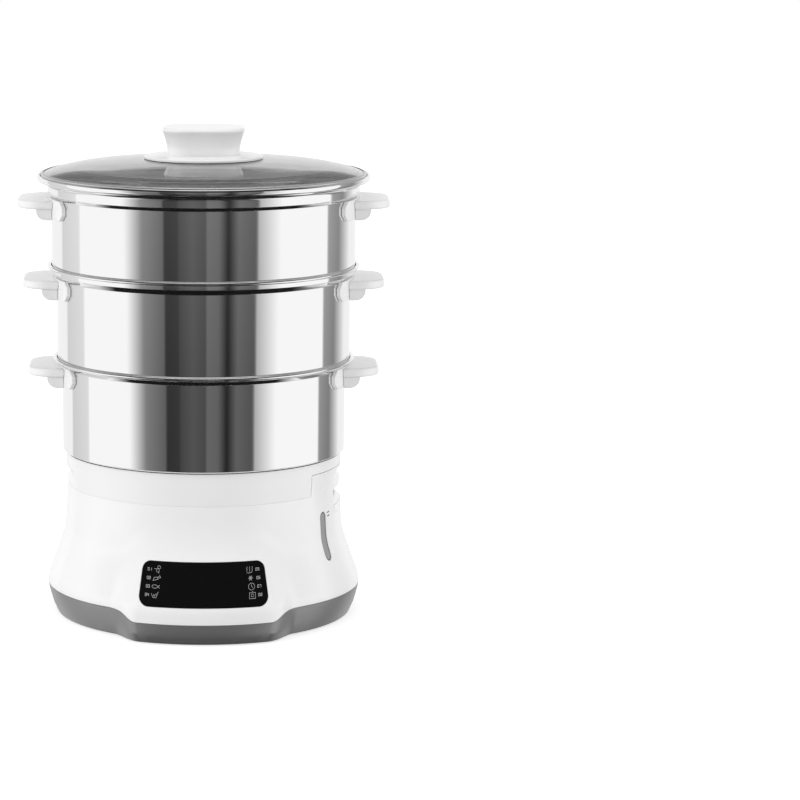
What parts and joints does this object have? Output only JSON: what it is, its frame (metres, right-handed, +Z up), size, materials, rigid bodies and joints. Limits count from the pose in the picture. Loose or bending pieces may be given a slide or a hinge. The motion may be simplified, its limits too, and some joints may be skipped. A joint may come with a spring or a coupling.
{
  "type": "electric food steamer",
  "caption": "Stacked electric food steamer: white heated base with a black touch panel, juice collector, steel steaming bowls with white handles and a domed glass lid with a knob",
  "frame": {"origin": "on the standing plane, on the upright axis of the round bowls, 2 mm behind the middle of the box", "axes": "+X to the steamer's right as seen from the front, +Y to the back, +Z up; the front with the panel faces -Y"},
  "size_m": [0.3046, 0.2787, 0.4018],
  "materials": {
    "white_plastic": "smooth white ABS, gloss",
    "handle_plastic": "smooth white plastic, gloss",
    "milky_plastic": "milky white plastic, slightly see-through",
    "inner_plastic": "plain white plastic",
    "grey_plastic": "fine-grained grey plastic",
    "black_plastic": "plain black plastic",
    "black_glass": "polished black touch window",
    "smoky_plastic": "translucent grey window",
    "silicone": "soft silicone",
    "dark_rubber": "soft dark rubber",
    "bowl_steel": "deep-drawn stainless steel, mirror polished outside",
    "rim_steel": "rolled stainless steel band",
    "screw_steel": "zinc-plated steel",
    "element_steel": "heat-tinted sheathed heater tube",
    "ceramic": "glazed heat-proof housing",
    "board_green": "solder-masked laminate",
    "lid_glass_clear": "clear tempered glass"
  },
  "bodies": {
    "base": {"base_housing": "white_plastic", "base_skirt": "grey_plastic", "bottom_plate": "grey_plastic", "rubber_feet": "dark_rubber", "base_screws": "screw_steel", "control_panel": "black_glass", "water_gauge": "smoky_plastic", "gauge_seal": "silicone", "inlet_spout": "white_plastic", "cord_gland": "dark_rubber", "water_reservoir": "inner_plastic", "heater_seal": "silicone", "heating_plate": "bowl_steel", "heater_clamp": "screw_steel", "clamp_screws": "screw_steel", "heating_element": "element_steel", "thermostat": "ceramic", "thermal_fuse": "ceramic", "steam_ring": "inner_plastic", "power_board": "board_green", "board_screws": "screw_steel", "transformer": "black_plastic", "power_relay": "black_plastic", "terminal_block": "inner_plastic", "buzzer": "black_plastic", "panel_bracket": "inner_plastic", "display_board": "board_green", "display_module": "black_plastic"},
    "collector": {"juice_collector": "milky_plastic"},
    "bottom_bowl_body": {"bottom_bowl": "bowl_steel", "bottom_grip_right": "handle_plastic", "bottom_grip_left": "handle_plastic", "bottom_handle_plate_right": "handle_plastic", "bottom_handle_plate_left": "handle_plastic", "bottom_handle_screws": "screw_steel"},
    "middle_bowl_body": {"middle_bowl": "bowl_steel", "middle_grip_right": "handle_plastic", "middle_grip_left": "handle_plastic", "middle_handle_plate_right": "handle_plastic", "middle_handle_plate_left": "handle_plastic", "middle_handle_screws": "screw_steel"},
    "top_bowl_body": {"top_bowl": "bowl_steel", "top_grip_right": "handle_plastic", "top_grip_left": "handle_plastic", "top_handle_plate_right": "handle_plastic", "top_handle_plate_left": "handle_plastic", "top_handle_screws": "screw_steel"},
    "lid": {"lid_glass": "lid_glass_clear", "lid_rim": "rim_steel", "knob_plate": "white_plastic", "knob_gasket": "silicone", "lid_knob": "white_plastic", "knob_washer": "screw_steel", "knob_screw": "screw_steel"}
  },
  "joints": [
    {"name": "collector_lift", "type": "slide", "parent": "base", "child": "collector", "axis": [0, 0, 1], "range_m": [0, 0.1]},
    {"name": "bottom_bowl_lift", "type": "slide", "parent": "collector", "child": "bottom_bowl_body", "axis": [0, 0, 1], "range_m": [0, 0.1]},
    {"name": "middle_bowl_lift", "type": "slide", "parent": "bottom_bowl_body", "child": "middle_bowl_body", "axis": [0, 0, 1], "range_m": [0, 0.1]},
    {"name": "top_bowl_lift", "type": "slide", "parent": "middle_bowl_body", "child": "top_bowl_body", "axis": [0, 0, 1], "range_m": [0, 0.1]},
    {"name": "lid_lift", "type": "slide", "parent": "top_bowl_body", "child": "lid", "axis": [0, 0, 1], "range_m": [0, 0.1]}
  ]
}
